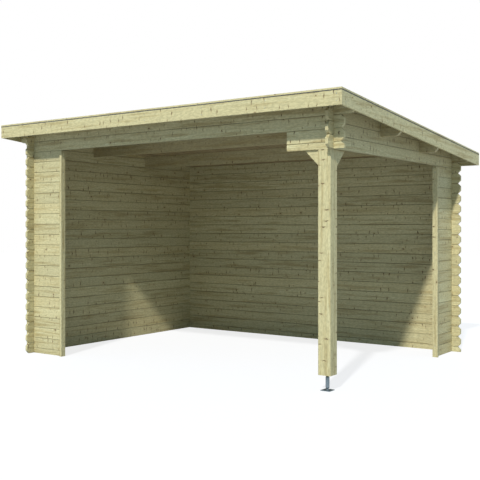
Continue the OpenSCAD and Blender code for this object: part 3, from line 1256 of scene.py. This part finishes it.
    def drip_edge(self) -> None:
        """Makes the bare edge of the felt, folded down over the fascia under the trim.

        It is four bars, and the ones at the sides follow the slope.
        """
        felt = self.folded.material("folded_felt", float(self.high[1]), self.sheet_show)
        low, high = node_box("trim_front")[0], node_box("trim_back")[1]
        top = self.board_thickness + self.felt_thickness
        drop, thin = top - self.drip_drop, self.drip_thickness
        section = [(0, 0), (1, 0), (1, 1), (0, 1)]
        bars = []
        for y in (low[1] - thin, high[1]):
            edge = float(self.under(np.clip(y, low[1], high[1])))
            bars.append([[(x, y + thin * a, edge + (top if b else drop)) for a, b in section]
                         for x in (low[0] - thin, high[0] + thin)])
        for x in (low[0] - thin, high[0]):
            bars.append([[(x + thin * a, y, float(self.under(y)) + (top if b else drop))
                          for a, b in section] for y in (high[1], low[1])])
        points, faces = prisms(np.array(bars).transpose(1, 0, 2, 3))
        make_piece("felt_drip_edge", points, faces, felt, "roofing_felt")

    def edges(self, zinc: bpy.types.Material) -> None:
        """Dresses the fascia and trim, and sets their screws and nails.

        Args:
            zinc: the fixings' finish.
        """
        screws, nails = [], []
        for number, side in enumerate(("front", "back", "left", "right")):
            long, thin = (Axis.ACROSS, 1) if number < 2 else (Axis.DEEP, 0)
            away = -1.0 if side in ("front", "left") else 1.0
            name = f"fascia_{side}"
            points = self.edge_board(name, long, FASCIA_SEED + number, self.fascia_spacing)
            points[:, thin], normal = outer_face(name, thin, away)
            foot = self.under(points[:, 1]) + self.fascia_top - self.fascia_height
            for rise in self.fascia_rows:
                points[:, 2] = foot + rise
                screws.append(Fixings().heads(points, normal))
            points = self.edge_board(f"trim_{side}", long, TRIM_SEED + number,
                                     self.trim_spacing)
            points[:, 2] = self.under(points[:, 1]) + self.trim_top
            nails.append(self.trim_nail.heads(points, self.out))
        make_piece("fascia_screws", *gather(screws), zinc, "zinc_steel")
        make_piece("trim_nails", *gather(nails), zinc, "zinc_steel")

    def edge_board(self, name: str, long: Axis, seed: float, spacing: float) -> Array:
        """Dresses one board of the roof's edge, and spaces out its fixings.

        Args:
            name: the board's node.
            long: the axis along the board.
            seed: the number that sets its figure.
            spacing: about how far apart its fixings are.

        Returns:
            One point for each fixing, on the board's middle line.
        """
        low, high = node_box(name)
        middle = (low + high) / 2
        lay = Lay(long, Axis.UPRIGHT, start=middle[2], middle=middle[1 - long.value],
                  seed=seed)
        dress(name, self.planed.material(f"{name}_timber", lay))
        run = long.value
        count = max(2, round((high[run] - low[run]) / spacing))
        points = np.tile(middle, (count, 1))
        points[:, run] = np.linspace(low[run] + self.end_margin, high[run] - self.end_margin,
                                     count)
        return points


# ---- the studio ----


@dataclass
class Studio:
    """Camera, lamps, world and floor."""

    camera_place: Point = (5.119, -7.321, 1.3875)
    camera_turn: float = 35.22
    lens: float = 59.9
    film: float = 36.0
    shift_y: float = -0.0259
    far: float = 200.0
    key_travel: Point = (-0.311, 1.0, -0.911)
    key_strength: float = 3.5
    key_softness: float = 2.5
    back_travel: Point = (0.55, -0.75, -0.62)
    back_strength: float = 1.1
    back_softness: float = 40.0
    sky: Colour = (0.62, 0.92, 1.20)
    sky_strength: float = 0.56
    floor_bounce: Colour = (0.50, 0.50, 0.50)
    floor_pale: Colour = (0.95, 0.95, 0.95)
    floor_show: float = 0.2
    floor_size: float = 60.0
    floor_drop: float = 0.001

    def build(self) -> None:
        """Sets up everything that isn't part of the shelter."""
        scene = bpy.context.scene
        scene.view_settings.view_transform = "Standard"
        data = bpy.data.cameras.new("camera")
        data.lens, data.sensor_width, data.shift_y = self.lens, self.film, self.shift_y
        data.clip_end = self.far
        camera = bpy.data.objects.new("camera", data)
        camera.location = self.camera_place
        camera.rotation_euler = (math.pi / 2, 0.0, math.radians(self.camera_turn))
        scene.collection.objects.link(camera)
        scene.camera = camera
        self.lamp("key", self.key_travel, self.key_strength, self.key_softness)
        self.lamp("back", self.back_travel, self.back_strength, self.back_softness)
        self.world()
        self.floor()

    def lamp(self, name: str, travel: Point, strength: float, softness: float) -> None:
        """Adds a far lamp.

        Args:
            name: the lamp's name.
            travel: the direction in which its light travels.
            strength: its strength in watts on a square metre.
            softness: its width in degrees.
        """
        data = bpy.data.lights.new(name, "SUN")
        data.energy, data.angle = strength, math.radians(softness)
        lamp = bpy.data.objects.new(name, data)
        x, y, z = travel
        flat = math.hypot(x, y)
        lamp.rotation_euler = (math.atan2(flat, -z), 0.0, math.atan2(-x, y))
        bpy.context.scene.collection.objects.link(lamp)

    def seen(self, graph: Graph) -> Socket:
        """One where the camera looks, straight or by a mirror or through glass."""
        path = graph.add("ShaderNodeLightPath").outputs
        both = graph.math("MAXIMUM", path["Is Camera Ray"], path["Is Glossy Ray"])
        return graph.math("MAXIMUM", both, path["Is Transmission Ray"])

    def world(self) -> None:
        """Makes a soft pale sky that looks white."""
        world = bpy.data.worlds.new("studio")
        world.use_nodes = True
        world.node_tree.nodes.clear()
        graph = Graph(world.node_tree)
        sky = graph.add("ShaderNodeBackground", {"Color": self.sky,
                                                 "Strength": self.sky_strength})
        white = graph.add("ShaderNodeBackground", {"Color": WHITE, "Strength": 1.0})
        mixed = graph.add("ShaderNodeMixShader", {0: self.seen(graph), 1: sky.outputs[0],
                                                  2: white.outputs[0]})
        graph.add("ShaderNodeOutputWorld", {"Surface": mixed.outputs[0]})
        bpy.context.scene.world = world

    def floor(self) -> None:
        """Makes a plain pale floor that keeps a soft shadow."""
        half = self.floor_size / 2
        corners = np.array([[-half, -half], [half, -half], [half, half], [-half, half]])
        mesh = bpy.data.meshes.new("floor")
        points = [(float(x), float(y), -self.floor_drop) for x, y in corners]
        mesh.from_pydata(points, [], [(0, 1, 2, 3)])
        material = bpy.data.materials.new("pale_floor")
        material.use_nodes = True
        material.node_tree.nodes.clear()
        graph = Graph(material.node_tree)
        bounce = graph.add("ShaderNodeBsdfDiffuse", {"Color": self.floor_bounce})
        shown = graph.add("ShaderNodeBsdfDiffuse", {"Color": self.floor_pale})
        white = graph.add("ShaderNodeEmission", {"Color": WHITE, "Strength": 1.0})
        look = graph.add("ShaderNodeMixShader", {0: self.floor_show, 1: white.outputs[0],
                                                 2: shown.outputs[0]})
        mixed = graph.add("ShaderNodeMixShader", {0: self.seen(graph), 1: bounce.outputs[0],
                                                  2: look.outputs[0]})
        graph.add("ShaderNodeOutputMaterial", {"Surface": mixed.outputs[0]})
        mesh.materials.append(material)
        floor = bpy.data.objects.new("floor", mesh)
        bpy.context.scene.collection.objects.link(floor)


def main() -> None:
    """Builds the shelter's finishes, its fine pieces and the studio."""
    logging.basicConfig(level=logging.INFO, format="%(name)s: %(message)s")
    Studio().build()
    zinc = ZincFinish().material("zinc_plate")
    LogWork().build()
    Jambs().build(zinc)
    PostAndFoot().build(zinc)
    Roof().build(zinc)


if __name__ == "__main__":
    main()
